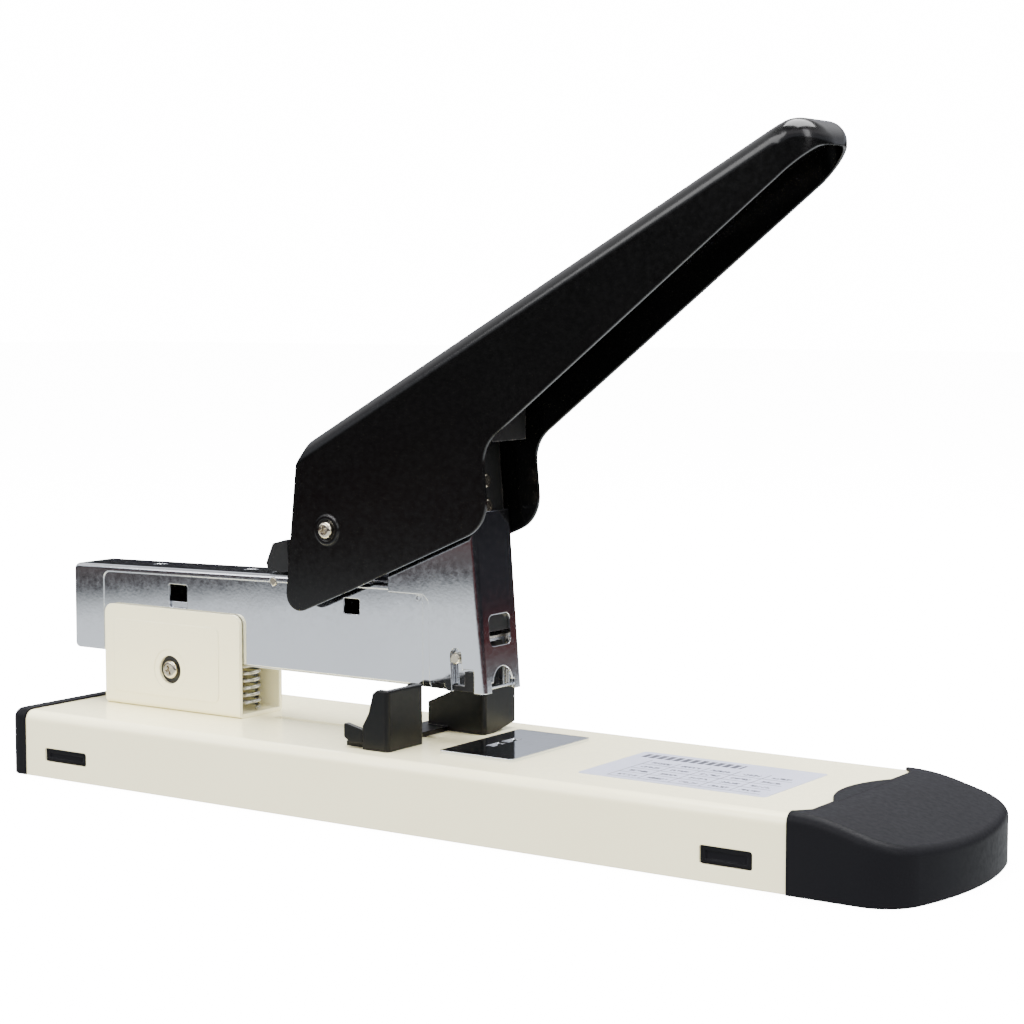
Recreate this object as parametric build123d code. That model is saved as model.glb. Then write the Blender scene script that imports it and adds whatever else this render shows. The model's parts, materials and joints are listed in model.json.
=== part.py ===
"""Heavy-duty long-base office stapler, as separate pieces at the rest position.

Millimetres. +X runs along the base towards the front cap, +Y to the far side, +Z up.
The origin is on the table, under the middle of the base.
"""
from build123d import *
import math
import os

# ---- base ---------------------------------------------------------------
BASE_X0, BASE_X1 = -141.3, 113.6          # steel shell, rear and front seams
BASE_HALF_W = 34.35
BASE_Z0, BASE_TOP = 0.2, 19.5
SHEET = 1.2                               # base shell and hinge bracket
NOSE_X = 148.1                            # tip of the front cap
SEAM_X, SEAM_HALF_W = 116.8, 27.5         # how far the shell's top reaches under the front cap
REAR_X = -147.5                           # back of the rear cap
CAP_HALF_W, CAP_TOP = 34.75, 20.2
FOOT_R, FOOT_H = 6.0, 1.6
PLATE_T = 1.0
SIDE_SLOTS = ((-133.4, -116.6, 5.1, 9.1), (89.7, 104.4, 4.6, 9.3))
BOSS_Y = 22.0

# ---- anvil, label and paper guide ---------------------------------------
ANVIL_X0, ANVIL_X1, ANVIL_HALF_W, ANVIL_T = 0.4, 24.0, 19.2, 1.0
CLINCH_X, CLINCH_Y = 8.4, 3.7
LABEL = (45.0, 100.0, -20.0, 14.5)
LABEL_T = 0.15
GUIDE_TRAVEL = 45.0
GUIDE_SLOT_Y = 1.6
GUIDE_LIFT = 0.1                          # running gap over the base top

# ---- rear hinge ---------------------------------------------------------
BRACKET_X0, BRACKET_X1 = -132.4, -78.7
BRACKET_HALF_W, BRACKET_TOP = 9.5, 49.9
PIVOT_X, PIVOT_Z = -106.0, 31.7
BUSH_R = 4.2
RUN = 0.05                                # radial running clearance
SCREW_R = 2.0
NUT_GRIP = 1.7
RETURN_X, RETURN_R, RETURN_WIRE = -84.6, 3.95, 0.6

# ---- upper frame --------------------------------------------------------
CHAN_X0, CHAN_X1 = -146.6, 6.4
CHAN_HALF_W, CHAN_T = 8.2, 0.8
CHAN_BOTTOM = 35.1
CHAN_TOP_REAR, CHAN_TOP_SLOPE = 61.2, 0.0175
PANEL_X0, PANEL_X1, PANEL_TOP, PANEL_DEPTH = -134.0, -13.2, 59.4, 0.25
HOUSE_HALF_W, HOUSE_IN = 9.05, 8.25
HOUSE_TOP = 84.0
LEAN = 4.5                                # front face leans back by this many degrees
FRONT_X, FRONT_Z = 8.3, 34.8              # foot of the front face

# ---- magazine -----------------------------------------------------------
MAG_X0, MAG_X1 = -114.0, 7.0
MAG_FRONT_GAP = 1.6                       # behind the housing's front face, for the turn upwards
MAG_HALF_W, MAG_T = 7.2, 0.7
MAG_Z0, MAG_TOP = 34.9, 52.0
CORE_HALF_W, CORE_TOP = 5.6, 49.0
STAPLE_T = 0.6
STAPLE_X0, STAPLE_X1 = -46.0, 5.0
LATCH_X, LATCH_Z, LATCH_R = -1.5, 43.9, 1.5

# ---- handle, link and ram -----------------------------------------------
HANDLE_HALF_W, HANDLE_T = 13.2, 1.0
HP_X, HP_Z = -42.7, 77.2                  # handle pivot
HANDLE_BUSH_R = 3.5
LINK_X, LINK_Z, LINK_R = -2.5, 108.0, 2.0
LINK_RUN = 8.6                            # how far the pin slides along the ram's slot
LINK_PLAY = 0.35
BLADE_T, BLADE_HALF_W = 1.0, 6.3
BLADE_BOTTOM, RAM_TOP = 51.3, 112.5
BLADE_FACE = -(HOUSE_HALF_W - HOUSE_IN) - 0.1  # depth behind the housing's front face
BLADE_STEP = 0.8                          # how far the wide part stands back
RAM_SLOT_Z = LINK_Z - LINK_R - LINK_PLAY
RIVET_Z, RIVET_R, RIVET_DEEP = (85.4, 92.3), 1.5, 2.5

# ---- opening lever ------------------------------------------------------
LEVER_X, LEVER_Z = -66.8, 60.6


# ======================= small helpers ===================================
def box(x0, x1, y0, y1, z0, z1):
    return Pos((x0 + x1) / 2, (y0 + y1) / 2, (z0 + z1) / 2) * Box(x1 - x0, y1 - y0, z1 - z0)


def side_prism(points, y0, y1):
    """Polygon in the X-Z plane, given as (x, z), filled from y0 to y1."""
    wire = Polyline(*[(x, 0, z) for x, z in points], close=True)
    return Pos(0, y0, 0) * extrude(make_face(wire), (y1 - y0), dir=(0, 1, 0))


def front_prism(points, x0, x1):
    """Polygon in the Y-Z plane, given as (y, z), filled from x0 to x1."""
    wire = Polyline(*[(0, y, z) for y, z in points], close=True)
    return Pos(x0, 0, 0) * extrude(make_face(wire), (x1 - x0), dir=(1, 0, 0))


def rod_y(x, z, r, y0, y1):
    return Pos(x, (y0 + y1) / 2, z) * Rot(90, 0, 0) * Cylinder(r, abs(y1 - y0))


def rod_x(y, z, r, x0, x1):
    return Pos((x0 + x1) / 2, y, z) * Rot(0, 90, 0) * Cylinder(r, abs(x1 - x0))


def rod_z(x, y, r, z0, z1):
    return Pos(x, y, (z0 + z1) / 2) * Cylinder(r, abs(z1 - z0))


def both_sides(shape):
    return shape + mirror(shape, Plane.XZ)


def edges_along(shape, axis, test):
    return [e for e in shape.edges().filter_by(axis) if test(e.center())]


def chan_top(x):
    """Height of the upper frame's top face at x."""
    return CHAN_TOP_REAR + CHAN_TOP_SLOPE * (x - CHAN_X0)


def front_face_x(z):
    """The housing's front face at height z."""
    return FRONT_X - math.tan(math.radians(LEAN)) * (z - FRONT_Z)


def leaning(shape):
    """Place a shape built on the front face: x is depth, z is distance up the face."""
    return Pos(FRONT_X, 0, FRONT_Z) * Rot(0, -LEAN, 0) * shape


def up_face(z):
    """Distance up the front face that reaches height z."""
    return (z - FRONT_Z) / math.cos(math.radians(LEAN))


def coil(radius, wire, height, turns):
    """Round-wire helix standing on z = 0."""
    path = Helix(pitch=(height - 2 * wire) / turns, height=height - 2 * wire, radius=radius)
    start = Plane(origin=path @ 0, z_dir=path % 0)
    return Pos(0, 0, wire) * sweep(start * Circle(wire), path=path)


def cross_recess(r, depth):
    """Cross-head recess opening at z = 0, going down."""
    arm = Box(1.7 * r, 0.42 * r, 2 * depth) + Box(0.42 * r, 1.7 * r, 2 * depth)
    return arm


def pan_head(r, height):
    """Pan head standing on z = 0 with a cross recess in its crown."""
    head = Cylinder(r, height, align=(Align.CENTER, Align.CENTER, Align.MIN))
    head = fillet(head.edges().sort_by(Axis.Z)[-1], height * 0.6)
    return head - Pos(0, 0, height) * Rot(0, 0, 20) * cross_recess(r * 0.62, height * 0.55)


# ======================= base ============================================
def shell_lip(height):
    """Tongue of the shell's top that runs on in front of the side seams."""
    x0, corner = BASE_X1 - 0.5, SEAM_HALF_W + 3.8
    outline = [(x0, -corner), (BASE_X1 + 0.4, -corner), (SEAM_X, -SEAM_HALF_W), (SEAM_X, SEAM_HALF_W),
               (BASE_X1 + 0.4, corner), (x0, corner)]
    return Pos(0, 0, BASE_TOP - SHEET) * extrude(make_face(Polyline(*outline, close=True)), height)


def base_shell():
    outer = box(BASE_X0, BASE_X1, -BASE_HALF_W, BASE_HALF_W, BASE_Z0, BASE_TOP)
    outer = fillet(edges_along(outer, Axis.X, lambda c: c.Z > 10), 3.0)
    inner_w = BASE_HALF_W - SHEET
    inner = box(BASE_X0 - 1, BASE_X1 + 1, -inner_w, inner_w, -1, BASE_TOP - SHEET)
    inner = fillet(edges_along(inner, Axis.X, lambda c: c.Z > 10), 1.8)
    shell = outer - inner + shell_lip(SHEET)
    for x0, x1, z0, z1 in SIDE_SLOTS:
        slot = box(x0, x1, -40, 40, z0, z1)
        shell -= fillet(slot.edges().filter_by(Axis.Y), 0.8)
    for x in (-124.0, -93.0):
        shell -= rod_z(x, 0, 1.6, 15, 21)
    for y in (-15.0, 15.0):
        shell -= box(14.0, 15.2, y - 2, y + 2, 15, 21)
    shell -= box(-72.5, -14.0, -GUIDE_SLOT_Y, GUIDE_SLOT_Y, 15, 21)
    return shell


def bottom_plate():
    half = BASE_HALF_W - SHEET - 0.1
    plate = box(BASE_X0 + 0.5, BASE_X1 - 0.5, -half, half, FOOT_H, FOOT_H + PLATE_T)
    plate = fillet(plate.edges().filter_by(Axis.Z), 3.0)
    for x in (-135.0, 107.0):
        for y in (-BOSS_Y, BOSS_Y):
            plate -= rod_z(x, y, 1.6, 0, 5)
    return plate


def rubber_feet():
    feet = []
    for x in (-122.0, 96.0):
        for y in (-25.0, 25.0):
            foot = rod_z(x, y, FOOT_R, 0, FOOT_H)
            foot = fillet(foot.edges().sort_by(Axis.Z)[0], 0.5)
            feet.append(foot)
    return Compound(children=feet)


def bottom_screws():
    screws = []
    for x in (-135.0, 107.0):
        for y in (-BOSS_Y, BOSS_Y):
            head = Pos(x, y, FOOT_H) * Rot(180, 0, 0) * pan_head(2.8, 0.9)
            screws.append(head + rod_z(x, y, 1.5, FOOT_H, 9.0))
    return Compound(children=screws)


def cap_plug(x0, x1, slot):
    """What reaches inside the shell: a rim, two snap arms with their tabs, two screw bosses."""
    half = BASE_HALF_W - SHEET - 0.15
    z0, z1 = FOOT_H + PLATE_T + 0.1, BASE_TOP - SHEET - 0.15
    rim = box(x0, x1, -half, half, z0, z1)
    rim = fillet(edges_along(rim, Axis.X, lambda c: c.Z > 10), 1.8)
    sx0, sx1, sz0, sz1 = slot
    ax0, ax1 = min(x0, sx0 - 1.5), max(x1, sx1 + 1.5)
    arm = box(ax0, ax1, half - 1.6, half, sz0 - 1.2, sz1 + 1.2)
    tab = box(sx0 + 0.3, sx1 - 0.3, half - 1.6, BASE_HALF_W - 0.45, sz0 + 0.25, sz1 - 0.25)
    tab -= box(sx0 + 1.5, sx1 - 1.5, BASE_HALF_W - 0.85, BASE_HALF_W, sz0 + 1.3, sz1 - 1.3)
    return rim + both_sides(arm + tab)


def screw_bosses(x):
    made = []
    for y in (-BOSS_Y, BOSS_Y):
        boss = rod_z(x, y, 3.9, FOOT_H + PLATE_T + 0.1, 12.0) - rod_z(x, y, 1.5, 0, 10.0)
        made.append(boss)
    return made[0] + made[1]


def rear_cap():
    cap = box(REAR_X, BASE_X0, -CAP_HALF_W, CAP_HALF_W, 0.1, 20.0)
    cap = fillet(edges_along(cap, Axis.Z, lambda c: c.X < -144), 3.5)
    top = edges_along(cap, Axis.X, lambda c: c.Z > 15)
    cap = fillet(top, 3.0)
    back = [e for e in cap.faces().sort_by(Axis.X)[0].edges()]
    cap = chamfer(back, 0.4)
    plug = cap_plug(BASE_X0, BASE_X0 + 3.0, SIDE_SLOTS[0])
    link = box(BASE_X0 + 2.5, -132.0, -BOSS_Y - 3, BOSS_Y + 3, 10.0, 12.0)
    return cap + plug + link + screw_bosses(-135.0)


def front_cap_block(z0, z1):
    """Plan of the nose: straight flanks, rounded corners and a shallow bow across the front."""
    shoulder = 141.1
    face = make_face([Line((BASE_X1, -CAP_HALF_W), (shoulder, -CAP_HALF_W)),
                      ThreePointArc((shoulder, -CAP_HALF_W), (NOSE_X, 0), (shoulder, CAP_HALF_W)),
                      Line((shoulder, CAP_HALF_W), (BASE_X1, CAP_HALF_W)),
                      Line((BASE_X1, CAP_HALF_W), (BASE_X1, -CAP_HALF_W))])
    block = Pos(0, 0, z0) * extrude(face, z1 - z0)
    return fillet(edges_along(block, Axis.Z, lambda c: c.X > BASE_X1 + 5), 12.0)


def front_cap():
    brow = Spline((BASE_X1, CAP_TOP), (122.0, 19.6), (132.0, 17.2), (141.0, 14.7), (NOSE_X, 12.6), (156.0, 9.8),
                  tangents=((1, 0), (1, -0.4)))
    crown = make_face([brow, Polyline((156.0, 9.8), (156.0, -5), (BASE_X1, -5), (BASE_X1, CAP_TOP))])
    crown = Pos(0, 50, 0) * Rot(90, 0, 0) * extrude(crown, 100)
    body = front_cap_block(0.1, CAP_TOP) & crown
    rim = [e for e in body.edges() if e.center().Z > 8 and e.center().X > BASE_X1 + 1 and abs((e % 0.5).Z) < 0.9]
    body = fillet(rim, 2.6)
    body -= box(BASE_X1 - 1, 129.0, -29, 29, -1, 14.0)
    body -= shell_lip(10.0)
    half, rise = 16.0, 5.0
    bulge = make_face([ThreePointArc((SEAM_X, -half), (SEAM_X - rise, 0), (SEAM_X, half)),
                       Line((SEAM_X, half), (SEAM_X + 1, half)), Line((SEAM_X + 1, half), (SEAM_X + 1, -half)),
                       Line((SEAM_X + 1, -half), (SEAM_X, -half))])
    tongue = Pos(0, 0, BASE_TOP) * extrude(bulge, CAP_TOP - BASE_TOP - 0.1)
    plug = cap_plug(BASE_X1 - 3.0, BASE_X1, SIDE_SLOTS[1])
    link = box(105.0, BASE_X1 + 0.5, -BOSS_Y - 3, BOSS_Y + 3, 10.0, 12.0)
    return body + tongue + plug + link + screw_bosses(107.0)


def spec_label():
    x0, x1, y0, y1 = LABEL
    label = box(x0, x1, y0, y1, BASE_TOP, BASE_TOP + LABEL_T)
    return fillet(label.edges().filter_by(Axis.Z), 1.2)


def anvil_plate():
    top = BASE_TOP + ANVIL_T
    plate = box(ANVIL_X0, ANVIL_X1, -ANVIL_HALF_W, ANVIL_HALF_W, BASE_TOP, top)
    plate = fillet(plate.edges().filter_by(Axis.Z), 0.6)
    for y in (-CLINCH_Y, CLINCH_Y):
        plate -= rod_x(y, top + 6.6, 7.3, CLINCH_X - 1.3, CLINCH_X + 1.3)
    for y in (-15.0, 15.0):
        plate += box(14.1, 15.1, y - 1.9, y + 1.9, 17.2, BASE_TOP + 0.1)
        plate += box(14.1, 18.0, y - 1.9, y + 1.9, 17.2, 18.25)
    return plate


def hinge_bracket():
    outer = box(BRACKET_X0, BRACKET_X1, -BRACKET_HALF_W, BRACKET_HALF_W, BASE_TOP, BRACKET_TOP)
    outer = fillet(edges_along(outer, Axis.X, lambda c: c.Z < 25), 1.5)
    outer = fillet(edges_along(outer, Axis.Y, lambda c: c.Z > 45), 3.0)
    ear_in = BRACKET_HALF_W - SHEET
    bracket = outer - box(BRACKET_X0 - 1, BRACKET_X1 + 1, -ear_in, ear_in, BASE_TOP + SHEET, 60)
    bracket -= rod_y(PIVOT_X, PIVOT_Z, BUSH_R + 0.02, -15, 15)
    pad = box(-128.6, -86.8, BRACKET_HALF_W - 0.1, BRACKET_HALF_W + 0.12, 23.5, 45.5)
    pad = fillet(pad.edges().filter_by(Axis.Y), 2.0)
    pad -= rod_y(PIVOT_X, PIVOT_Z, 6.2, 5, 15)
    bracket += both_sides(pad)
    for x in (-124.0, -93.0):
        bracket -= rod_z(x, 0, 1.6, 19, 22)
    return bracket


def bracket_rivets():
    made = []
    for x in (-124.0, -93.0):
        low = box(-200, 200, -40, 40, 14, BASE_TOP - SHEET)
        head = Pos(x, 0, BASE_TOP + SHEET - 1.2) * Sphere(3.0) & box(-200, 200, -9, 9, BASE_TOP + SHEET, 30)
        tail = Pos(x, 0, BASE_TOP - SHEET + 1.2) * Sphere(3.0) & low
        made.append(head + tail + rod_z(x, 0, 1.58, BASE_TOP - SHEET, BASE_TOP + SHEET))
    return Compound(children=made)


def bush(x, z, r, half_length):
    return rod_y(x, z, r, -half_length, half_length) - rod_y(x, z, SCREW_R + 0.02, -50, 50)


def cross_screw(x, z, half_length, head_r, head_h):
    """Screw along Y, head on the near side, its end reaching into the nut."""
    head = Pos(x, -half_length, z) * Rot(90, 0, 0) * pan_head(head_r, head_h)
    return head + rod_y(x, z, SCREW_R, -half_length, half_length + NUT_GRIP)


def lock_nut(x, z, start, reach, half_width):
    nut = Pos(x, start, z) * Rot(-90, 0, 0) * extrude(RegularPolygon(half_width, 6), reach)
    return nut - rod_y(x, z, SCREW_R + 0.02, start - 1, start + NUT_GRIP + 0.05)


def return_spring():
    seat = BASE_TOP + SHEET + 0.02
    height = MAG_Z0 - 0.05 - seat
    return Pos(RETURN_X, 0, seat) * coil(RETURN_R, RETURN_WIRE, height, 6)


# ======================= magazine ========================================
def magazine_rail():
    """Open-topped staple trough; its front end is open below for the staple."""
    rail = box(MAG_X0, MAG_X1, -MAG_HALF_W, MAG_HALF_W, MAG_Z0, MAG_TOP)
    inner = MAG_HALF_W - MAG_T
    rail -= box(MAG_X0 - 1, MAG_X1 + 1, -inner, inner, MAG_Z0 + MAG_T, MAG_TOP + 1)
    rail -= box(STAPLE_X1 - 0.2, MAG_X1 + 1, -inner, inner, MAG_Z0 - 1, MAG_TOP)
    rail = fillet(edges_along(rail, Axis.Y, lambda c: c.X < -110 and c.Z > 50), 6.0)
    rail -= rod_y(PIVOT_X, PIVOT_Z, BUSH_R + RUN, -20, 20)
    rail -= rod_y(LATCH_X, LATCH_Z, LATCH_R, -20, 20)
    ears = side_prism([(-112, 24.6), (-100, 24.6), (-94, MAG_Z0 + 1), (-114, MAG_Z0 + 1)],
                      MAG_HALF_W - MAG_T, MAG_HALF_W)
    ears -= rod_y(PIVOT_X, PIVOT_Z, BUSH_R + RUN, -20, 20)
    rail -= box(-111.5, -100.5, -inner, inner, MAG_Z0 - 1, MAG_Z0 + MAG_T)
    rail -= leaning(box(-MAG_FRONT_GAP, 20, -20, 20, -10, 40))
    return rail + both_sides(ears)


def staple_core():
    core = box(-98.0, STAPLE_X1 - 0.3, -CORE_HALF_W, CORE_HALF_W, MAG_Z0 + MAG_T, CORE_TOP)
    core -= box(-99.0, STAPLE_X1 + 1, -CORE_HALF_W + 0.8, CORE_HALF_W - 0.8, 30, CORE_TOP - 0.8)
    return core - rod_y(LATCH_X, LATCH_Z, LATCH_R, -20, 20)


def staple_strip():
    """A glued strip of wide-crown staples, notched at every wire."""
    half, z0, z1 = 6.4, MAG_Z0 + MAG_T + 0.3, CORE_TOP + 0.1 + STAPLE_T
    strip = box(STAPLE_X0, STAPLE_X1, -half, half, z0, z1)
    strip -= box(STAPLE_X0 - 1, STAPLE_X1 + 1, -half + STAPLE_T, half - STAPLE_T, 20, z1 - STAPLE_T)
    relief = box(-2.2, STAPLE_X1 + 1, -half - 1, half + 1, LATCH_Z - 1.7, LATCH_Z + 1.7)
    relief += box(-3.4, 0.4, -half - 1, half + 1, LATCH_Z - 1.7, LATCH_Z + 1.7)
    return strip - relief


def magazine_nose():
    """Blackened cheeks at the mouth of the magazine, seen through the housing's notches."""
    cheek = side_prism([(-10.2, MAG_Z0 + 0.1), (4.5, MAG_Z0 + 0.1), (3.9, 40.4), (1.0, 40.4), (0.9, 36.4),
                        (-10.2, 36.4)], MAG_HALF_W, 8.12)
    return both_sides(cheek)


def latch_pin():
    pin = rod_y(LATCH_X, LATCH_Z, LATCH_R, -9.5, 9.5)
    return chamfer(pin.edges().filter_by(GeomType.CIRCLE), 0.3)


def spring_tail():
    """Flat end of the follower's constant-force spring, hooked at the front of the trough."""
    strip = box(-44.5, -6.0, -3.0, 3.0, CORE_TOP + 1.1, CORE_TOP + 1.25)
    hook = box(-6.0, -5.85, -3.0, 3.0, CORE_TOP + 1.1, CORE_TOP + 2.6)
    return strip + hook


def spring_anchor():
    bar = box(-8.2, -6.1, -6.45, 6.45, CORE_TOP + 1.3, MAG_TOP)
    return bar


# ---- follower -----------------------------------------------------------
ROLL_X, ROLL_Z, ROLL_R = -53.1, 53.9, 3.4


def staple_follower():
    half, front = 6.35, STAPLE_X0 - 0.1
    rear = front - 14.0
    block = box(rear, front, -half, half, MAG_Z0 + MAG_T + 0.2, CORE_TOP + 1.4)
    block -= box(rear - 1, front + 1, -CORE_HALF_W - 0.1, CORE_HALF_W + 0.1, 30, CORE_TOP + 0.1)
    for y in (-4.6, 3.4):
        cheek = box(rear + 1, front - 1, y, y + 1.2, CORE_TOP + 1.4, 56.6)
        block += fillet(edges_along(cheek, Axis.Y, lambda c: c.Z > 55), 4.0)
    block -= box(ROLL_X - 3.9, ROLL_X + 3.9, -3.4, 3.4, CORE_TOP + 1.0, 60)
    return block


def spring_roll():
    roll = rod_y(ROLL_X, ROLL_Z, ROLL_R, -3.0, 3.0) - rod_y(ROLL_X, ROLL_Z, 1.6, -5, 5)
    axle = rod_y(ROLL_X, ROLL_Z, 1.5, -3.39, 3.39)
    return roll, axle


# ======================= upper frame =====================================
def channel_block(gap, x0, x1, z0):
    """Solid under the frame's sloping top, inset by gap on the sides and top."""
    half = CHAN_HALF_W - gap
    points = [(x0, z0), (x1, z0), (x1, chan_top(x1) - gap), (x0, chan_top(x0) - gap)]
    return side_prism(points, -half, half)


def slot_cut(width):
    """Open-bottomed slot that the latch pin leaves as the frame turns up about the rear pivot."""
    top_x, top_z = LATCH_X + 0.05, LATCH_Z + 0.9
    foot_x = LATCH_X + 1.15
    half = width / 2
    cut = side_prism([(top_x - half, top_z), (top_x + half, top_z), (foot_x + half, 30), (foot_x - half, 30)],
                     -12, 12)
    return cut + rod_y(top_x, top_z, half, -12, 12)


def frame_channel():
    """Chromed cover, an inverted channel closed at the back, with a shallow side panel."""
    outer = channel_block(0, CHAN_X0, CHAN_X1, CHAN_BOTTOM)
    outer = fillet(edges_along(outer, Axis.Y, lambda c: c.X < -140 and c.Z > 50), 2.0)
    outer = fillet(edges_along(outer, Axis.Y, lambda c: c.X < -140 and c.Z < 40), 1.6)
    top_edges = [e for e in outer.edges() if e.length > 100 and e.center().Z > 50]
    outer = fillet(top_edges, 1.2)
    inner = channel_block(CHAN_T, CHAN_X0 + CHAN_T, CHAN_X1 + 5, CHAN_BOTTOM - 5)
    chan = outer - inner
    panel = side_prism([(PANEL_X0, 20), (PANEL_X1, 20), (PANEL_X1, PANEL_TOP + 2.0), (PANEL_X0, PANEL_TOP)],
                       CHAN_HALF_W - PANEL_DEPTH, 12)
    chan -= both_sides(fillet(edges_along(panel, Axis.Y, lambda c: c.Z > 50), 2.4))
    chan -= rod_y(PANEL_X1 - 1.7, PANEL_TOP + 0.1, 0.7, -20, 20)
    chan -= rod_y(PIVOT_X, PIVOT_Z, BUSH_R + RUN, -20, 20)
    for x0, x1, z0, z1 in ((-107.4, -100.2, 50.3, 57.2), (-41.2, -35.4, 53.3, 57.7)):
        window = box(x0, x1, -20, 20, z0, z1)
        chan -= fillet(window.edges().filter_by(Axis.Y), 0.6)
    for x in (-118.0, -82.0):
        chan -= rod_z(x, 0, 2.2, 55, 70)
    chan -= box(-3.4, 20, -20, 20, 54.6, 70)
    chan -= box(-71.5, -62.0, -3.0, 3.0, 55, 70)
    chan -= rod_y(LEVER_X, LEVER_Z, 1.25, -20, 20)
    chan -= slot_cut(3.8)
    chan -= box(0.6, 5.0, -20, 20, 30, 41.4)
    chan -= box(-10.7, 5.2, -20, 20, 30, 36.7)
    chan -= leaning(box(-(HOUSE_HALF_W - HOUSE_IN) - 0.1, 20, -20, 20, -10, 40))
    return chan


def pivot_ears():
    """Lugs that carry the upper frame on the rear bush, below the cover's skirt."""
    lug = side_prism([(-111.5, 24.6), (-100.5, 24.6), (-96.5, 36), (-115.5, 36)],
                     CHAN_HALF_W - CHAN_T, CHAN_HALF_W - PANEL_DEPTH)
    lug -= rod_y(PIVOT_X, PIVOT_Z, BUSH_R + RUN, -20, 20)
    return both_sides(lug)


def front_housing():
    """Chromed sheet folded round the front: guides the ram and carries the mouth."""
    tip_x = front_face_x(HOUSE_TOP)
    outline = [(-10.3, 36.9), (-5.2, 36.9), (-5.0, 35.2), (-3.6, FRONT_Z), (FRONT_X, FRONT_Z), (tip_x, HOUSE_TOP),
               (-24.5, HOUSE_TOP), (-24.5, 60.7), (-12.4, 60.7), (-10.7, 59.0)]
    outer = side_prism(outline, -HOUSE_HALF_W, HOUSE_HALF_W)
    wall = HOUSE_HALF_W - HOUSE_IN
    front_edges = [e for e in outer.edges() if abs(e.length - up_face(HOUSE_TOP)) < 0.05]
    outer = fillet(front_edges, 1.5)
    depth = leaning(box(-60, -wall, -HOUSE_IN, HOUSE_IN, -20, 80))
    house = outer - depth
    arch = front_prism([(-5.6, 20), (5.6, 20), (5.6, 37.5), (-5.6, 37.5)], 0, 20)
    arch += Pos(10, 0, 37.0) * Rot(0, 90, 0) * Cylinder(4.6, 20)
    house -= arch & box(4.6, 20, -20, 20, 20, 60)
    window = leaning(box(-3, 3, -5.0, 5.0, up_face(47.3), up_face(55.8)))
    corners = [e for e in window.edges() if abs(e.length - 6) < 0.01]
    house -= fillet(corners, 1.8)
    house -= slot_cut(3.8)
    notch = side_prism([(0.7, 20), (4.7, 20), (4.7, 40.6), (4.2, 41.2), (1.2, 41.2), (0.7, 40.6)], -20, 20)
    return house - notch


def housing_rivets():
    made = []
    for x, z in ((-19.0, 71.0), (-19.0, 79.0)):
        for s in (-1, 1):
            made.append(rod_y(x, z, 1.6, s * HOUSE_HALF_W, s * (HOUSE_HALF_W + 0.7)))
    return Compound(children=made)


def handle_bracket():
    """U-shaped pedestal on the frame's top that carries the handle's bush."""
    ear_x0, ear_x1, reach = HP_X - 10, HP_X + 10, 11.4
    low = [(ear_x0, chan_top(ear_x0)), (ear_x1, chan_top(ear_x1)), (ear_x1, chan_top(ear_x1) + 6),
           (HP_X + 6.5, HP_Z), (HP_X - 6.5, HP_Z), (ear_x0, chan_top(ear_x0) + 6)]
    solid = side_prism(low, -reach, reach) + rod_y(HP_X, HP_Z, 6.5, -reach, reach)
    ear_in = reach - SHEET
    floor = chan_top(HP_X) + 0.2 + SHEET
    bracket = solid - box(ear_x0 - 5, ear_x1 + 5, -ear_in, ear_in, floor, 100)
    bracket -= rod_y(HP_X, HP_Z, HANDLE_BUSH_R + RUN, -20, 20)
    for x in (HP_X - 5, HP_X + 5):
        bracket -= rod_z(x, 0, 1.6, 55, 72)
    return bracket


def pedestal_rivets():
    made = []
    floor = chan_top(HP_X) + 0.2 + SHEET
    for x in (HP_X - 5, HP_X + 5):
        head = Pos(x, 0, floor - 1.0) * Sphere(2.8) & box(x - 5, x + 5, -5, 5, floor, floor + 5)
        made.append(head + rod_z(x, 0, 1.55, floor - SHEET + 0.3, floor))
    return Compound(children=made)


def lever_pin():
    pin = rod_y(LEVER_X, LEVER_Z, 1.2, -CHAN_HALF_W - 0.1, CHAN_HALF_W + 0.1)
    return chamfer(pin.edges().filter_by(GeomType.CIRCLE), 0.2)


# ======================= handle ==========================================
RIDGE_REAR, RIDGE_MID = (-51.0, 101.9), (80.0, 175.0)
RIDGE_SLOPE = (RIDGE_MID[1] - RIDGE_REAR[1]) / (RIDGE_MID[0] - RIDGE_REAR[0])
TIP_X, TIP_R, CREST_R = 108.1, 7.4, 5.0   # front end, its rounding in side view, rounding of the ridge
RIM_Z = 179.2                             # lower edge of the skirt round the tip

# Side view of the skirts: x, z, corner radius; open above.
HANDLE_SIDE = ((TIP_X + 5, 220, 0), (TIP_X + 5, RIM_Z, 0), (106.4, 178.7, 2.5), (97.3, 170.6, 0),
               (10.0, 102.2, 10.0), (12.0, 81.0, 10.0), (-34.3, 60.9, 0), (-58.4, 51.0, 4.7),
               (-53.9, 95.2, 1.5), (-51.6, 99.2, 0), (-51.0, 101.0, 0), (-51.0, 220, 0))


def handle_form(inset):
    """Long block with a rounded ridge and end; the cavity is the same form, inset."""
    drop = inset * math.hypot(1, RIDGE_SLOPE)
    end_x, mid_x, mid_z = TIP_X - inset, RIDGE_MID[0], RIDGE_MID[1] - drop
    outline = [(-80, 20), (end_x, 20), (end_x, mid_z + RIDGE_SLOPE * (end_x - mid_x)),
               (-80, mid_z - RIDGE_SLOPE * (mid_x + 80))]
    half = HANDLE_HALF_W - inset
    plan = box(-90, end_x, -half, half, 0, 250)
    plan = fillet(edges_along(plan, Axis.Z, lambda c: c.X > 50), half - 1.4)
    block = side_prism(outline, -half, half)
    block = fillet(edges_along(block, Axis.Y, lambda c: c.X > 50 and c.Z > 100), TIP_R - inset)
    solid = block & plan
    crest = [e for e in solid.edges()
             if e.center().Z > 90 and abs(e.center().Y) > half * 0.3 and abs((e % 0.5).Z) < 0.97]
    return fillet(crest, CREST_R - inset)


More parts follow.
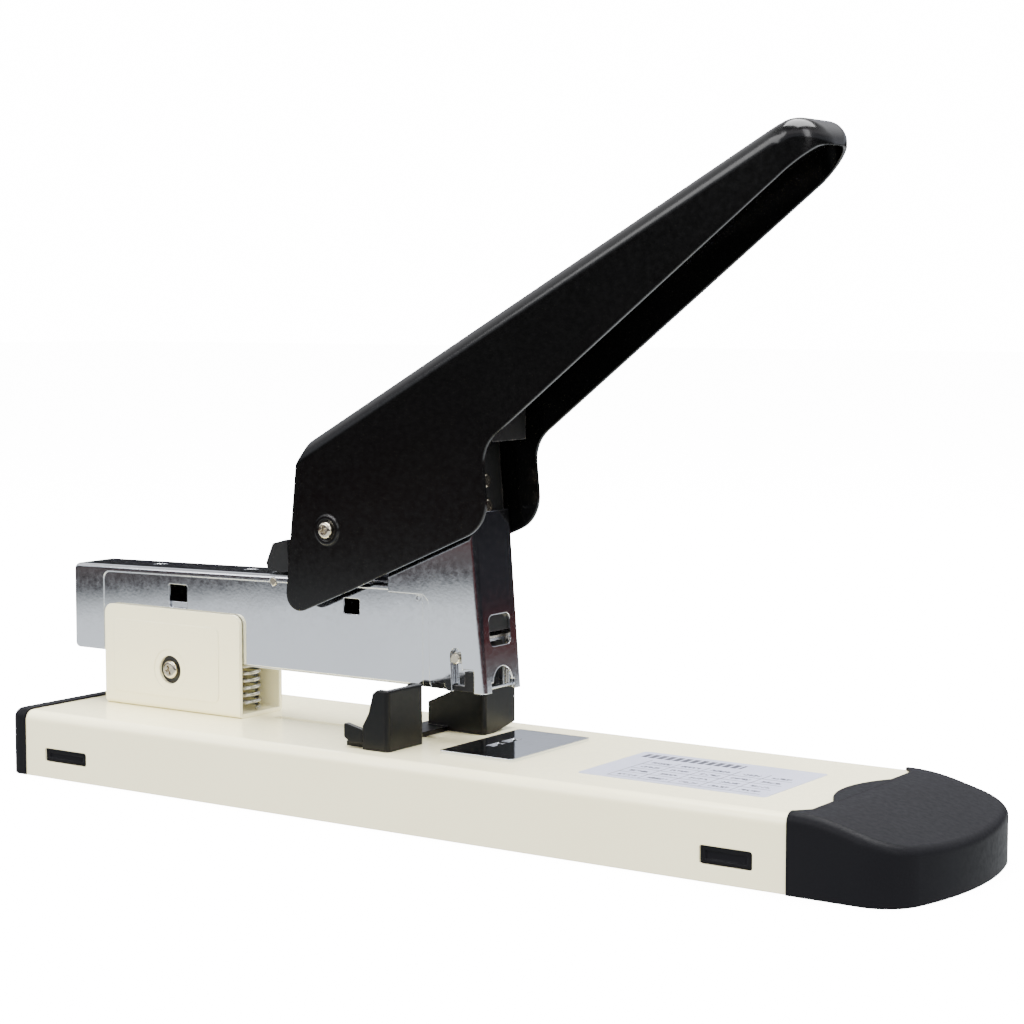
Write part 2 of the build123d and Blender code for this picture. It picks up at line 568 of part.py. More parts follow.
def handle_side():
    face = make_face(Polyline(*[(x, z) for x, z, _ in HANDLE_SIDE], close=True))
    for x, z, r in HANDLE_SIDE:
        if r:
            corner = min(face.vertices(), key=lambda v: math.hypot(v.X - x, v.Y - z))
            face = fillet(corner, r)
    return Pos(0, 30, 0) * Rot(90, 0, 0) * extrude(face, 60)


def handle_shell():
    shell = handle_form(0) - handle_form(HANDLE_T)
    shell = shell & handle_side()
    boss = rod_y(HP_X, HP_Z, 4.3, HANDLE_HALF_W - 0.2, HANDLE_HALF_W + 0.55)
    boss = fillet(boss.edges().sort_by(Axis.Y)[-1], 0.4)
    boss -= rod_y(HP_X, HP_Z, 3.0, 10, 20)
    shell += both_sides(boss)
    shell -= rod_y(HP_X, HP_Z, SCREW_R + 0.05, -20, 20)
    return shell


def handle_spring():
    """Torsion spring round the handle's bush: coils and two legs."""
    wire, mean = 0.8, HANDLE_BUSH_R + 1.1
    winding = Pos(HP_X, 5.5, HP_Z) * Rot(90, 0, 0) * coil(mean, wire, 11.0, 5)
    front = Pos(HP_X, 0, HP_Z) * Rot(0, 52, 0) * Pos(-mean, -4.7, 12.5) * Cylinder(wire, 25)
    rear = Pos(HP_X, 0, HP_Z) * Rot(0, -130, 0) * Pos(mean, 4.7, 6.0) * Cylinder(wire, 12)
    return winding, front, rear


def link_pin():
    reach = HANDLE_HALF_W - HANDLE_T - 0.02
    return rod_y(LINK_X, LINK_Z, LINK_R, -reach, reach)


# ======================= ram =============================================
def driver_blade():
    """Blackened driver: narrow where it enters the magazine, stepped back and wide above."""
    foot, shoulder, top = up_face(BLADE_BOTTOM), up_face(72.0), up_face(RAM_SLOT_Z - 0.5)
    x1 = BLADE_FACE
    blade = box(x1 - BLADE_T, x1, -BLADE_HALF_W, BLADE_HALF_W, foot, up_face(79.0))
    blade += box(x1 - BLADE_STEP - BLADE_T, x1 - BLADE_STEP, -7.9, 7.9, shoulder, top)
    for z in RIVET_Z:
        blade -= rod_x(0, up_face(z), RIVET_R, -10, 5)
    return leaning(blade)


def ram_block():
    """Steel carrier behind the blade, with a long head slotted for the link pin."""
    x1 = BLADE_FACE - BLADE_STEP - BLADE_T
    stem = box(x1 - 3.6, x1, -7.9, 7.9, up_face(73.0), up_face(104.5))
    for z in RIVET_Z:
        stem -= rod_x(0, up_face(z), RIVET_R, x1 - RIVET_DEEP, x1 + 1)
    head = box(LINK_X - 4.6, LINK_X + LINK_RUN + 4.0, -7.9, 7.9, 103.4, RAM_TOP)
    head -= leaning(box(x1, x1 + BLADE_T + 0.01, -9, 9, up_face(100), up_face(RAM_SLOT_Z - 0.5)))
    head = head + leaning(stem)
    slot = box(LINK_X, LINK_X + LINK_RUN, -20, 20, RAM_SLOT_Z, LINK_Z + LINK_R + LINK_PLAY)
    slot += rod_y(LINK_X, LINK_Z, LINK_R + LINK_PLAY, -20, 20)
    slot += rod_y(LINK_X + LINK_RUN, LINK_Z, LINK_R + LINK_PLAY, -20, 20)
    return head - slot


def ram_rivets():
    """Two rivets through the blade into its carrier, their low domes behind the housing's front."""
    face = BLADE_FACE - BLADE_STEP
    made = []
    for z in RIVET_Z:
        shank = rod_x(0, up_face(z), RIVET_R - 0.02, face - BLADE_T - RIVET_DEEP, face)
        dome = Pos(face, 0, up_face(z)) * Rot(0, 90, 0) * Cylinder(2.1, 0.75, align=(Align.CENTER, Align.CENTER, Align.MIN))
        dome = fillet(dome.edges().sort_by(Axis.X)[-1], 0.7)
        made.append(leaning(shank + dome))
    return Compound(children=made)


# ======================= opening lever ===================================
def opening_lever():
    """Ribbed thumb piece behind the handle, on a pin through the cover."""
    top = chan_top(LEVER_X)
    thumb = side_prism([(-70.6, top + 1.2), (-71.2, top + 3.0), (-68.7, top + 8.8), (-63.5, top + 10.2),
                        (-62.6, top + 1.0), (-66.0, top + 0.5)], -6.0, 6.0)
    thumb = fillet(thumb.edges().filter_by(Axis.Y), 0.4)
    for i in range(4):
        z = top + 3.6 + 1.5 * i
        x = -71.2 + 2.5 * (z - top - 3.0) / 5.8
        thumb -= Pos(x - 0.1, 0, z) * Rot(0, 23, 0) * Box(0.8, 10.6, 0.6)
    stem = side_prism([(-70.2, top + 1.4), (-63.4, top + 1.4), (-64.0, 58.1), (-68.8, 58.1)], -2.7, 2.7)
    lever = thumb + stem
    return lever - rod_y(LEVER_X, LEVER_Z, 1.2 + RUN, -10, 10)


# ======================= paper guide =====================================
def paper_guide():
    z0 = BASE_TOP + GUIDE_LIFT
    floor = box(-27.5, -17.6, -24.0, 25.2, z0, z0 + 1.3)
    near_side = side_prism([(-20.1, z0), (-11.4, z0), (-11.4, 36.3), (-15.2, 36.3), (-16.6, 35.2),
                            (-18.0, 29.7), (-20.1, 26.0)], -26.4, -10.2)
    near_side = fillet(edges_along(near_side, Axis.Z, lambda c: c.X > -12), 1.2)
    near_side = fillet(near_side.faces().sort_by(Axis.Z)[-1].edges(), 0.6)
    near_side -= box(-30, -13.0, -24.8, -11.8, z0 + 1.3, 40)
    far_side = side_prism([(-24.5, z0), (-4.9, z0), (-4.9, 36.3), (-9.5, 36.3), (-11.0, 33.6), (-24.5, 27.4)],
                          9.5, 25.4)
    far_side = fillet(edges_along(far_side, Axis.Z, lambda c: c.X > -6), 1.2)
    far_side = fillet(far_side.faces().sort_by(Axis.Z)[-1].edges(), 0.6)
    far_side -= box(-30, -6.5, 11.1, 23.8, z0 + 1.3, 40)
    far_side -= box(-30, -6.5, 11.1, 30, 28.0, 40)
    far_side -= front_prism([(9.5, z0 - 1), (26, z0 - 1), (26, 21.8)], -10, 0)
    tongue = box(-26.0, -19.0, -GUIDE_SLOT_Y + 0.15, GUIDE_SLOT_Y - 0.15, 18.2, z0 + 0.5)
    guide = floor + near_side + far_side + tongue
    guide -= rod_z(-22.5, 0, 1.02, 10, 30)
    return guide


def guide_clamp():
    clamp = box(-30.0, -15.0, -7.0, 7.0, 16.4, 18.2)
    return fillet(clamp.edges().filter_by(Axis.Z), 1.5) - rod_z(-22.5, 0, 1.02, 10, 20)


def guide_screw():
    head = Pos(-22.5, 0, 16.4) * Rot(180, 0, 0) * pan_head(2.2, 1.2)
    return head + rod_z(-22.5, 0, 1.0, 16.4, 20.4)


def guide_release():
    """Finger tab at the near end of the guide."""
    tab = side_prism([(-26.7, 26.3), (-26.7, 22.4), (-24.7, 21.1), (-20.4, 21.1), (-20.4, 24.9)], -26.2, -24.6)
    tab = fillet(tab.edges().filter_by(Axis.Y), 0.5)
    stem = box(-25.5, -22.0, -24.7, -18.0, 21.4, 23.0)
    return tab + stem


# ======================= write the pieces ================================
def build():
    roll, roll_axle = spring_roll()
    winding, front_leg, rear_leg = handle_spring()
    handle_nut_start = HANDLE_HALF_W
    return {
        "base_shell": base_shell(),
        "bottom_plate": bottom_plate(),
        "rubber_feet": rubber_feet(),
        "bottom_screws": bottom_screws(),
        "rear_cap": rear_cap(),
        "front_cap": front_cap(),
        "spec_label": spec_label(),
        "anvil_plate": anvil_plate(),
        "hinge_bracket": hinge_bracket(),
        "bracket_rivets": bracket_rivets(),
        "pivot_bush": bush(PIVOT_X, PIVOT_Z, BUSH_R, 8.6),
        "pivot_screw": cross_screw(PIVOT_X, PIVOT_Z, 8.6, 2.7, 1.5),
        "pivot_nut": lock_nut(PIVOT_X, PIVOT_Z, 8.6, 2.2, 3.4),
        "return_spring": return_spring(),
        "magazine_rail": magazine_rail(),
        "staple_core": staple_core(),
        "staple_strip": staple_strip(),
        "magazine_nose": magazine_nose(),
        "latch_pin": latch_pin(),
        "follower_spring_tail": spring_tail(),
        "spring_anchor": spring_anchor(),
        "staple_follower": staple_follower(),
        "follower_spring_roll": roll,
        "follower_axle": roll_axle,
        "frame_channel": frame_channel() + pivot_ears(),
        "front_housing": front_housing(),
        "housing_rivets": housing_rivets(),
        "handle_bracket": handle_bracket(),
        "pedestal_rivets": pedestal_rivets(),
        "lever_pin": lever_pin(),
        "handle_shell": handle_shell(),
        "handle_bush": bush(HP_X, HP_Z, HANDLE_BUSH_R, HANDLE_HALF_W - HANDLE_T - 0.02),
        "handle_screw": cross_screw(HP_X, HP_Z, HANDLE_HALF_W, 2.4, 1.7),
        "handle_nut": lock_nut(HP_X, HP_Z, handle_nut_start, 2.4, 2.9),
        "handle_spring": winding + front_leg + rear_leg,
        "link_pin": link_pin(),
        "ram_block": ram_block(),
        "driver_blade": driver_blade(),
        "ram_rivets": ram_rivets(),
        "opening_lever": opening_lever(),
        "paper_guide": paper_guide(),
        "guide_clamp": guide_clamp(),
        "guide_screw": guide_screw(),
        "guide_release": guide_release(),
    }


os.makedirs("parts", exist_ok=True)
for name, shape in build().items():
    export_step(shape, f"parts/{name}.step")
    print(f"{name:22s} volume {shape.volume:9.1f}")
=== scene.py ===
"""Looks of the heavy-duty stapler: finishes, printed label, studio and camera."""
import bmesh
import bpy
import json
import math
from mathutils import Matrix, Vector


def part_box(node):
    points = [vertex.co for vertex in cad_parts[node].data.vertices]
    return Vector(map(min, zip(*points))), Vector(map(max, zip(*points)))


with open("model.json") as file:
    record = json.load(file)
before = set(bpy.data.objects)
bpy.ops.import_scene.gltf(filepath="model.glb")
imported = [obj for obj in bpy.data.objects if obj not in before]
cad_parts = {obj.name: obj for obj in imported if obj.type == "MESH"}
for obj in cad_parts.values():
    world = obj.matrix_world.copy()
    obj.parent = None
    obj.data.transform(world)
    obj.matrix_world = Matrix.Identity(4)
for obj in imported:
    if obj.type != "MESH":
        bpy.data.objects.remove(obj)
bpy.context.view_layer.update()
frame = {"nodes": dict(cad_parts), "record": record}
nodes = frame["nodes"]
MM = 0.001
WHITE = (1.0, 1.0, 1.0)


# ---- shader building blocks ---------------------------------------------------
NOISE_LOW, NOISE_HIGH = 0.3, 0.7  # most noise values lie between these two
BEVEL_SAMPLES = 6
MIX_FIRST, MIX_SECOND, MIX_RESULT = 6, 7, 2  # the Mix node's colour sockets


def add(tree, kind, **settings):
    """A new shader node with its settings."""
    node = tree.nodes.new("ShaderNode" + kind)
    for key, value in settings.items():
        setattr(node, key, value)
    return node


def feed(tree, socket, value):
    """Give a socket a number, a colour, or another node's output."""
    if isinstance(value, (int, float)):
        socket.default_value = value
    elif isinstance(value, tuple):
        socket.default_value = (*value, 1.0)
    else:
        tree.links.new(value, socket)


def object_point(tree):
    return add(tree, "TexCoord").outputs["Object"]


def noise(tree, scale, detail):
    """Noise on Object coordinates; scale, per metre, is a number or a socket."""
    node = add(tree, "TexNoise")
    node.inputs["Detail"].default_value = detail
    tree.links.new(object_point(tree), node.inputs["Vector"])
    feed(tree, node.inputs["Scale"], scale)
    return node.outputs["Fac"]


def maths(tree, kind, first, second=None, clamp=False):
    node = add(tree, "Math", operation=kind, use_clamp=clamp)
    feed(tree, node.inputs[0], first)
    if second is not None:
        feed(tree, node.inputs[1], second)
    return node.outputs[0]


def remap(tree, value, start, end, low=0.0, high=1.0):
    """Carry value from the span start-end over to low-high."""
    node = add(tree, "MapRange")
    for label, number in (("From Min", start), ("From Max", end), ("To Min", low), ("To Max", high)):
        node.inputs[label].default_value = number
    tree.links.new(value, node.inputs["Value"])
    return node.outputs["Result"]


def spread_noise(tree, value, low, high):
    return remap(tree, value, NOISE_LOW, NOISE_HIGH, low, high)


def mix_colour(tree, factor, first, second):
    node = add(tree, "Mix", data_type="RGBA")
    tree.links.new(factor, node.inputs["Factor"])
    feed(tree, node.inputs[MIX_FIRST], first)
    feed(tree, node.inputs[MIX_SECOND], second)
    return node.outputs[MIX_RESULT]


def banded_colour(tree, place, stops):
    """Colour by place, from (place, colour) stops of which the first lies at zero."""
    ramp = add(tree, "ValToRGB")
    bands = ramp.color_ramp.elements
    bands.remove(bands[1])
    bands[0].color = (*stops[0][1], 1.0)
    for position, colour in stops[1:]:
        bands.new(position).color = (*colour, 1.0)
    tree.links.new(place, ramp.inputs[0])
    return ramp.outputs["Color"]


def rounded_normal(tree, radius):
    edge = add(tree, "Bevel", samples=BEVEL_SAMPLES)
    tree.links.new(radius, edge.inputs["Radius"])
    return edge.outputs["Normal"]


# ---- shared shader effects ----------------------------------------------------
WAVE_DETAIL, GRAIN_DETAIL, PATCH_DETAIL = 1.0, 2.0, 4.0
BROAD_DETAIL, FINE_DETAIL = 3.0, 5.0
# Cosine between the true and the rounded normal where the edge wear and painted edge highlight starts
# and where it is full.
EDGE_MARK_START, EDGE_MARK_FULL = 0.995, 0.85
# Noise values between which a patch of rubbed paint and painted edge highlight fades in.
PATCH_START, PATCH_FULL = 0.42, 0.62


def new_group(name, inputs, outputs):
    """An empty shader node group with float inputs and the given outputs."""
    tree = bpy.data.node_groups.new(name, "ShaderNodeTree")
    for label, value in inputs:
        socket = tree.interface.new_socket(label, in_out="INPUT", socket_type="NodeSocketFloat")
        socket.default_value = value
    for label, kind in outputs:
        tree.interface.new_socket(label, in_out="OUTPUT", socket_type="NodeSocket" + kind)
    return tree, tree.nodes.new("NodeGroupInput"), tree.nodes.new("NodeGroupOutput")


def ripple_group():
    """Rounded edges with a rippled skin: orange peel on paint, a faint wave on plated sheet."""
    inputs = [("Grain per m", 900.0), ("Grain depth mm", 0.01), ("Wave per m", 40.0),
              ("Wave depth mm", 0.02), ("Edge radius m", 0.0003)]
    tree, given, out = new_group("rippled_skin", inputs, [("Normal", "Vector")])
    normal = rounded_normal(tree, given.outputs["Edge radius m"])
    for layer, detail in (("Wave", WAVE_DETAIL), ("Grain", GRAIN_DETAIL)):
        bump = add(tree, "Bump")
        depth = maths(tree, "MULTIPLY", given.outputs[layer + " depth mm"], MM)
        tree.links.new(depth, bump.inputs["Distance"])
        tree.links.new(noise(tree, given.outputs[layer + " per m"], detail), bump.inputs["Height"])
        tree.links.new(normal, bump.inputs["Normal"])
        normal = bump.outputs["Normal"]
    tree.links.new(normal, out.inputs["Normal"])
    return tree


def edge_wear_and_sheen_group():
    """Mask that is 1 on edges, broken up by noise, for rubbed paint and a painted highlight on edges
    and corners.
    """
    inputs = [("Width m", 0.0006), ("Breakup per m", 300.0), ("Amount", 1.0)]
    tree, given, out = new_group("rubbed_edges_and_painted_sheen", inputs, [("Mask", "Float")])
    turn = add(tree, "VectorMath", operation="DOT_PRODUCT")
    tree.links.new(rounded_normal(tree, given.outputs["Width m"]), turn.inputs[0])
    tree.links.new(add(tree, "NewGeometry").outputs["Normal"], turn.inputs[1])
    edges = remap(tree, turn.outputs["Value"], EDGE_MARK_START, EDGE_MARK_FULL)
    breakup = noise(tree, given.outputs["Breakup per m"], PATCH_DETAIL)
    patches = remap(tree, breakup, PATCH_START, PATCH_FULL)
    worn_and_sheen = maths(tree, "MULTIPLY", edges, patches)
    mask = maths(tree, "MULTIPLY", worn_and_sheen, given.outputs["Amount"], clamp=True)
    tree.links.new(mask, out.inputs["Mask"])
    return tree


def handling_group():
    """Broad and fine variation of a surface, as from handling and dust."""
    inputs = [("Broad per m", 25.0), ("Fine per m", 700.0)]
    tree, given, out = new_group("handled_surface", inputs, [("Broad", "Float"), ("Fine", "Float")])
    for layer, detail in (("Broad", BROAD_DETAIL), ("Fine", FINE_DETAIL)):
        tree.links.new(noise(tree, given.outputs[layer + " per m"], detail), out.inputs[layer])
    return tree


RIPPLE, EDGE_WEAR_AND_SHEEN, HANDLED = ripple_group(), edge_wear_and_sheen_group(), handling_group()


# ---- finishes -----------------------------------------------------------------
COAT_ROUGHNESS = 0.05
NO_WAVE = (40.0, 0.0)


def use_group(tree, group, **values):
    """Place a shared effect; an underscore in a value's name stands for a space."""
    node = tree.nodes.new("ShaderNodeGroup")
    node.node_tree = group
    for key, value in values.items():
        node.inputs[key.replace("_", " ")].default_value = value
    return node


def new_material(name):
    material = bpy.data.materials.new(name)
    material.use_nodes = True
    return material, material.node_tree, material.node_tree.nodes["Principled BSDF"]


def finish(name, colour, tone, rough, grain, edge, wave=NO_WAVE, metallic=0.0, coat=0.0, worn_and_sheen=None,
           specular=0.5):
    """A finish in two close tones with a range of roughness.

    grain and wave are (count per m, depth in mm), edge is the rounding in mm,
    and worn is (colour, width in mm, amount) of lighter edges, partly rubbed paint and partly a
    painted edge highlight.
    """
    material, tree, shader = new_material(name)
    handled = use_group(tree, HANDLED)
    skin = use_group(tree, RIPPLE, Grain_per_m=grain[0], Grain_depth_mm=grain[1],
                     Wave_per_m=wave[0], Wave_depth_mm=wave[1], Edge_radius_m=edge * MM)
    paint = mix_colour(tree, spread_noise(tree, handled.outputs["Broad"], 0.0, 1.0), colour, tone)
    # Lighter colour along edges: rubbed paint plus a painted highlight along edges and rims.
    if worn_and_sheen:
        edge_wear_and_sheen_colour, width, amount = worn_and_sheen
        mask = use_group(tree, EDGE_WEAR_AND_SHEEN, Width_m=width * MM, Amount=amount)
        paint = mix_colour(tree, mask.outputs["Mask"], paint, edge_wear_and_sheen_colour)
    tree.links.new(paint, shader.inputs["Base Color"])
    tree.links.new(spread_noise(tree, handled.outputs["Fine"], *rough), shader.inputs["Roughness"])
    tree.links.new(skin.outputs["Normal"], shader.inputs["Normal"])
    shader.inputs["Metallic"].default_value = metallic
    shader.inputs["Specular IOR Level"].default_value = specular
    shader.inputs["Coat Weight"].default_value = coat
    shader.inputs["Coat Roughness"].default_value = COAT_ROUGHNESS
    return material


# The worn colours lighten edges, partly as rubbed paint and partly as a painted edge highlight, such
# as the thin light line along the handle's rim.
FINISHES = {
    "cream_paint": finish(
        "cream_enamel", (0.955, 0.895, 0.60), (0.94, 0.875, 0.58), rough=(0.17, 0.25),
        grain=(1400.0, 0.0016), wave=(110.0, 0.003), edge=0.5, coat=0.25,
        worn_and_sheen=((0.96, 0.93, 0.80), 0.4, 0.5)),
    "black_enamel": finish(
        "black_enamel", (0.0012, 0.0012, 0.0012), (0.0022, 0.0022, 0.0022), rough=(0.13, 0.21),
        grain=(900.0, 0.003), wave=(160.0, 0.012), edge=0.5, specular=0.42,
        worn_and_sheen=((0.02, 0.02, 0.02), 0.3, 0.4)),
    "cap_plastic": finish(
        "grained_cap_plastic", (0.0052, 0.0052, 0.0064), (0.0068, 0.0068, 0.0082), rough=(0.36, 0.46),
        grain=(2600.0, 0.004), wave=(60.0, 0.003), edge=0.8, specular=0.05,
        worn_and_sheen=((0.022, 0.022, 0.026), 0.5, 0.5)),
    "guide_plastic": finish(
        "guide_plastic", (0.0008, 0.0008, 0.0008), (0.0014, 0.0014, 0.0014), rough=(0.30, 0.40),
        grain=(2200.0, 0.002), wave=(90.0, 0.006), edge=0.35, specular=0.25,
        worn_and_sheen=((0.012, 0.012, 0.012), 0.3, 0.5)),
    "lever_plastic": finish(
        "lever_plastic", (0.003, 0.003, 0.0032), (0.005, 0.005, 0.005), rough=(0.32, 0.42),
        grain=(2200.0, 0.01), edge=0.25, worn_and_sheen=((0.05, 0.05, 0.05), 0.3, 0.5)),
    "chrome_plate": finish(
        "chromed_sheet", (0.74, 0.76, 0.79), (0.70, 0.72, 0.76), rough=(0.06, 0.11), metallic=1.0,
        grain=(1100.0, 0.0035), wave=(70.0, 0.03), edge=0.35),
    "nickel": finish(
        "nickel_plate", (0.66, 0.60, 0.47), (0.60, 0.54, 0.42), rough=(0.14, 0.24), metallic=1.0,
        grain=(1600.0, 0.006), edge=0.2),
    "spring_steel": finish(
        "spring_wire", (0.50, 0.50, 0.50), (0.42, 0.42, 0.43), rough=(0.2, 0.32), metallic=1.0,
        grain=(2500.0, 0.006), edge=0.1),
    "steel_sheet": finish(
        "zinc_sheet", (0.52, 0.53, 0.55), (0.45, 0.46, 0.48), rough=(0.25, 0.4), metallic=1.0,
        grain=(1500.0, 0.01), edge=0.2),
    "black_oxide": finish(
        "blackened_steel", (0.003, 0.003, 0.0032), (0.005, 0.0049, 0.0047), rough=(0.3, 0.4),
        grain=(1200.0, 0.001), edge=0.2, worn_and_sheen=((0.22, 0.21, 0.20), 0.25, 0.7)),
    "staple_wire": finish(
        "staple_wire", (0.62, 0.58, 0.50), (0.55, 0.51, 0.44), rough=(0.2, 0.35), metallic=1.0,
        grain=(1500.0, 0.01), edge=0.1),
    "foot_rubber": finish(
        "foot_rubber", (0.02, 0.02, 0.02), (0.03, 0.03, 0.03), rough=(0.6, 0.75),
        grain=(2500.0, 0.03), edge=0.3),
}


# ---- printed label ------------------------------------------------------------
FILM, FILM_DULL, INK = (0.53, 0.55, 0.69), (0.49, 0.51, 0.65), (0.04, 0.04, 0.055)
INK_COVER, RULE_COVER = 0.95, 0.8
FILM_METALLIC = 0.25
FILM_ROUGH = (0.28, 0.4)
# Counts per metre of the noise that varies the tone, the roughness and the printed dashes.
TONE_SCALE, SHEEN_SCALE, TICK_SCALE = 60.0, 800.0, 1500.0
FILM_DETAIL, TICK_DETAIL = 3.0, 0.0
TICK_LIMIT = 0.56


def label_print(tree):
    """Ink mask: a heading bar over a ruled table with short dashes in its cells, no lettering."""
    low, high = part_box("spec_label")
    width, depth = high.x - low.x, high.y - low.y
    column, row = 0.162 * width, 0.165 * depth
    left, right = 0.14 * width, 0.95 * width
    foot, top = 0.06 * depth, 0.72 * depth
    corner = add(tree, "Mapping")
    corner.inputs["Location"].default_value = (-low.x, -low.y, 0.0)
    tree.links.new(object_point(tree), corner.inputs["Vector"])
    point = add(tree, "SeparateXYZ")
    tree.links.new(corner.outputs["Vector"], point.inputs[0])
    x, y = point.outputs["X"], point.outputs["Y"]

    def both(first, second):
        return maths(tree, "MULTIPLY", first, second)

    def repeats(axis, pitch, start, share):
        """1 where the position inside each pitch is below share of it."""
        steps = maths(tree, "DIVIDE", maths(tree, "SUBTRACT", axis, start), pitch)
        return maths(tree, "LESS_THAN", maths(tree, "FRACT", steps), share)

    def between(axis, start, end):
        return both(maths(tree, "GREATER_THAN", axis, start), maths(tree, "LESS_THAN", axis, end))

    table = both(between(x, left, right), between(y, foot, top))
    across = repeats(y, row, start=foot, share=0.09)
    down = repeats(x, column, start=left, share=0.045)
    rules = both(maths(tree, "MAXIMUM", across, down), table)
    dashes = both(repeats(x, column, start=0.175 * width, share=0.62),
                  repeats(y, row, start=0.115 * depth, share=0.32))
    ticks = maths(tree, "LESS_THAN", noise(tree, TICK_SCALE, TICK_DETAIL), TICK_LIMIT)
    dashes = both(both(dashes, table), ticks)
    bar = both(between(x, 0.05 * width, 0.60 * width), between(y, 0.79 * depth, 0.92 * depth))
    heading = both(bar, repeats(x, 0.045 * width, start=0.0, share=0.72))
    dark = maths(tree, "MAXIMUM", dashes, heading)
    return maths(tree, "MAXIMUM", both(rules, RULE_COVER), dark)


def label_film():
    """Silvery film under the print."""
    material, tree, shader = new_material("label_film")
    ink = maths(tree, "MULTIPLY", label_print(tree), INK_COVER)
    tone = spread_noise(tree, noise(tree, TONE_SCALE, FILM_DETAIL), 0.0, 1.0)
    film = mix_colour(tree, tone, FILM, FILM_DULL)
    tree.links.new(mix_colour(tree, ink, film, INK), shader.inputs["Base Color"])
    sheen = spread_noise(tree, noise(tree, SHEEN_SCALE, FILM_DETAIL), *FILM_ROUGH)
    tree.links.new(sheen, shader.inputs["Roughness"])
    skin = use_group(tree, RIPPLE, Grain_per_m=1500.0, Grain_depth_mm=0.003, Edge_radius_m=0.05 * MM)
    tree.links.new(skin.outputs["Normal"], shader.inputs["Normal"])
    shader.inputs["Metallic"].default_value = FILM_METALLIC
    return material


FINISHES["label_paper"] = label_film()

slot_of = {part["node"]: part["material_slot"] for part in frame["record"]["subparts"]}
for name, node in nodes.items():
    chosen = FINISHES[slot_of[name]]
    if not node.data.materials:
        node.data.materials.append(chosen)
    for slot in node.material_slots:
        slot.material = chosen


# ---- studio -------------------------------------------------------------------
# Name, place, point aimed at, size (all in m) and power in watts.
LIGHTS = (
    ("overhead_softbox", (0.05, 0.15, 1.25), (0.0, 0.0, 0.05), (1.3, 1.0), 60.0),
    ("front_fill", (-0.75, -1.25, 0.95), (0.0, 0.0, 0.06), (1.2, 0.7), 14.0),
    ("side_strip", (1.15, -0.55, 0.75), (0.05, 0.0, 0.10), (0.35, 0.9), 6.0),
)
SOFT_LIGHT, WHITE_WALLS = 2.45, 16.0
# The room that the metal mirrors: height of the view (0 level, 1 straight up) and its colour.
MIRRORED_ROOM = (
    (0.0, (0.012, 0.012, 0.015)), (0.11, (0.02, 0.02, 0.022)), (0.19, (0.72, 0.76, 0.86)),
    (0.36, (0.60, 0.60, 0.64)), (0.50, (1.35, 1.35, 1.4)), (0.66, (1.1, 1.1, 1.14)),
    (0.80, (0.3, 0.3, 0.31)),
)
FLOOR_SIZE = 6.0
FLOOR_PAINT, BOUNCE_TINT = (0.9, 0.9, 0.9), (1.0, 0.99, 0.97)
FLOOR_BOUNCE, FLOOR_MIRRORED, FLOOR_SEEN = 1.6, 1.28, 12.5
FLOOR_REACH = 4.0
# The floor that the metal mirrors: distance from the stapler's middle in m and its colour.
MIRRORED_FLOOR = (
    (0.0, (0.93, 0.97, 1.0)), (0.46, (0.90, 0.94, 0.97)), (0.568, (0.02, 0.02, 0.022)),
    (0.70, (0.13, 0.11, 0.11)), (0.84, (0.070, 0.016, 0.018)), (1.16, (0.060, 0.014, 0.016)),
    (1.60, (0.016, 0.016, 0.020)),
)


def area_light(name, place, target, size, watts):
    data = bpy.data.lights.new(name, "AREA")
    data.shape = "RECTANGLE"
    data.size, data.size_y = size
    data.energy = watts
    lamp = bpy.data.objects.new(name, data)
    lamp.location = place
    aim = Vector(target) - Vector(place)
    lamp.rotation_euler = aim.to_track_quat("-Z", "Y").to_euler()
    bpy.context.scene.collection.objects.link(lamp)


def glow(tree, kind, colour, strength):
    """A Background or Emission shader."""
    node = add(tree, kind)
    node.inputs["Color"].default_value = (*colour, 1.0)
    node.inputs["Strength"].default_value = strength
    return node


def switch(tree, flag, off, on):
    node = add(tree, "MixShader")
    for socket, source in zip(node.inputs, (flag, off, on)):
        tree.links.new(source, socket)
    return node.outputs[0]


def ray_split(tree, lighting, mirrored, seen):
    """Choose by the kind of ray: what lights the object, what it mirrors, what the camera sees."""
    ray = add(tree, "LightPath").outputs
    off_camera = switch(tree, ray["Is Glossy Ray"], lighting.outputs[0], mirrored.outputs[0])
    return switch(tree, ray["Is Camera Ray"], off_camera, seen.outputs[0])


def studio_surround():
    """White walls for the camera, soft light on the object, and a banded room for it to mirror."""
    world = bpy.data.worlds.new("studio")
    bpy.context.scene.world = world
    world.use_nodes = True
    tree = world.node_tree
    room = tree.nodes["Background"]
    view = add(tree, "SeparateXYZ")
    tree.links.new(add(tree, "TexCoord").outputs["Generated"], view.inputs[0])
    tree.links.new(banded_colour(tree, view.outputs["Z"], MIRRORED_ROOM), room.inputs["Color"])
    soft = glow(tree, "Background", WHITE, SOFT_LIGHT)
    walls = glow(tree, "Background", WHITE, WHITE_WALLS)
    tree.links.new(ray_split(tree, soft, room, walls), tree.nodes["World Output"].inputs["Surface"])


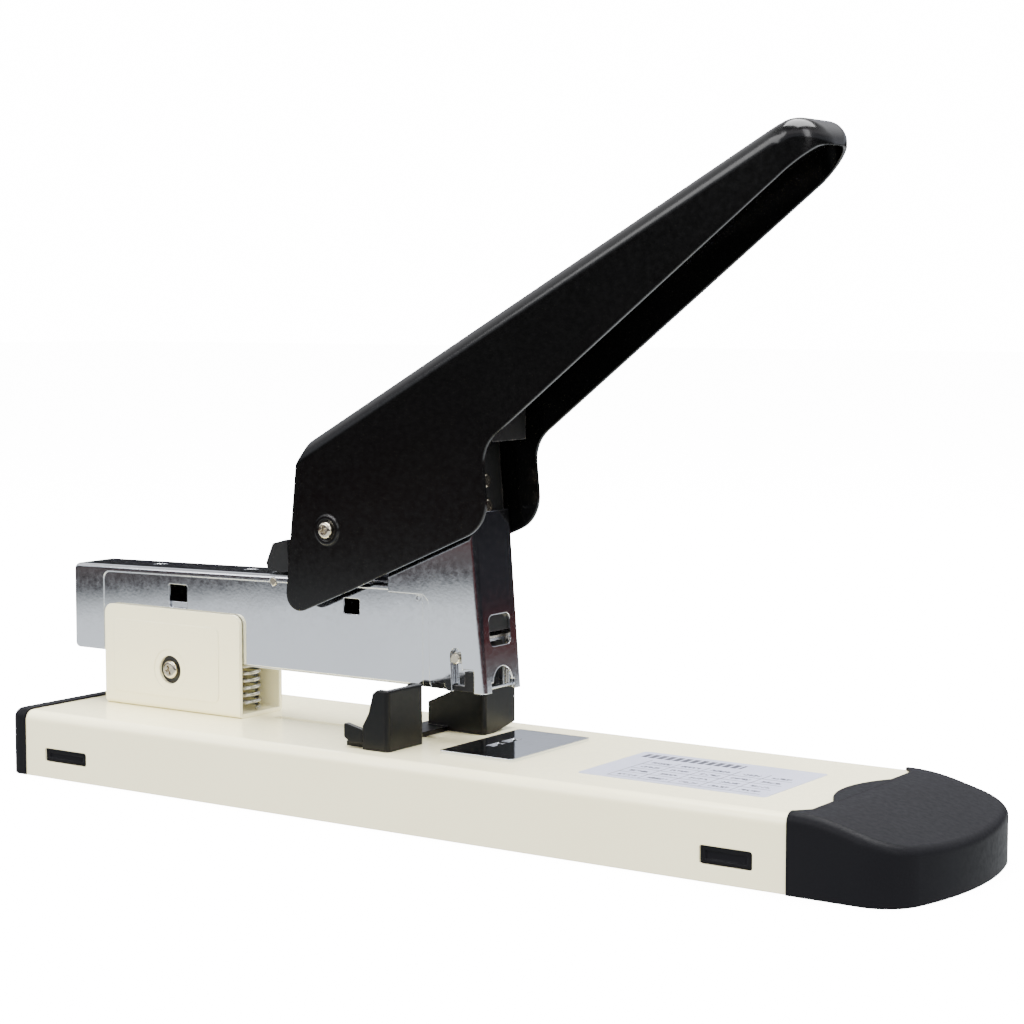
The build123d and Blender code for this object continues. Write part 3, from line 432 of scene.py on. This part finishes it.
def floor_material():
    """Pale floor for the camera; what the object mirrors of it is banded by distance."""
    material = bpy.data.materials.new("pale_floor")
    material.use_nodes = True
    tree = material.node_tree
    tree.nodes.clear()
    distance = add(tree, "VectorMath", operation="LENGTH")
    tree.links.new(object_point(tree), distance.inputs[0])
    share = maths(tree, "DIVIDE", distance.outputs["Value"], FLOOR_REACH)
    bands = [(place / FLOOR_REACH, colour) for place, colour in MIRRORED_FLOOR]
    mirrored = glow(tree, "Emission", WHITE, FLOOR_MIRRORED)
    tree.links.new(banded_colour(tree, share, bands), mirrored.inputs["Color"])
    bounce = glow(tree, "Emission", BOUNCE_TINT, FLOOR_BOUNCE)
    matt = add(tree, "BsdfDiffuse")
    matt.inputs["Color"].default_value = (*FLOOR_PAINT, 1.0)
    seen = add(tree, "AddShader")
    tree.links.new(glow(tree, "Emission", WHITE, FLOOR_SEEN).outputs[0], seen.inputs[0])
    tree.links.new(matt.outputs[0], seen.inputs[1])
    output = add(tree, "OutputMaterial")
    tree.links.new(ray_split(tree, bounce, mirrored, seen), output.inputs["Surface"])
    return material


def studio_floor():
    shape = bmesh.new()
    bmesh.ops.create_grid(shape, x_segments=1, y_segments=1, size=FLOOR_SIZE)
    mesh = bpy.data.meshes.new("studio_floor")
    shape.to_mesh(mesh)
    shape.free()
    mesh.materials.append(floor_material())
    floor = bpy.data.objects.new("studio_floor", mesh)
    bpy.context.scene.collection.objects.link(floor)


for light in LIGHTS:
    area_light(*light)
studio_surround()
studio_floor()


# ---- camera -------------------------------------------------------------------
LENS_MM, SENSOR_MM = 82.87, 36.0
NEAR_CLIP = 0.01
EYE_PLACE = (0.37136, -0.52481, 0.14020)
EYE_TILT, EYE_TURN = math.radians(84.954), math.radians(34.476)

camera = bpy.data.cameras.new("camera")
camera.lens = LENS_MM
camera.sensor_width = SENSOR_MM
camera.clip_start = NEAR_CLIP
eye = bpy.data.objects.new("camera", camera)
eye.location = EYE_PLACE
eye.rotation_euler = (EYE_TILT, 0.0, EYE_TURN)
bpy.context.scene.collection.objects.link(eye)
bpy.context.scene.camera = eye
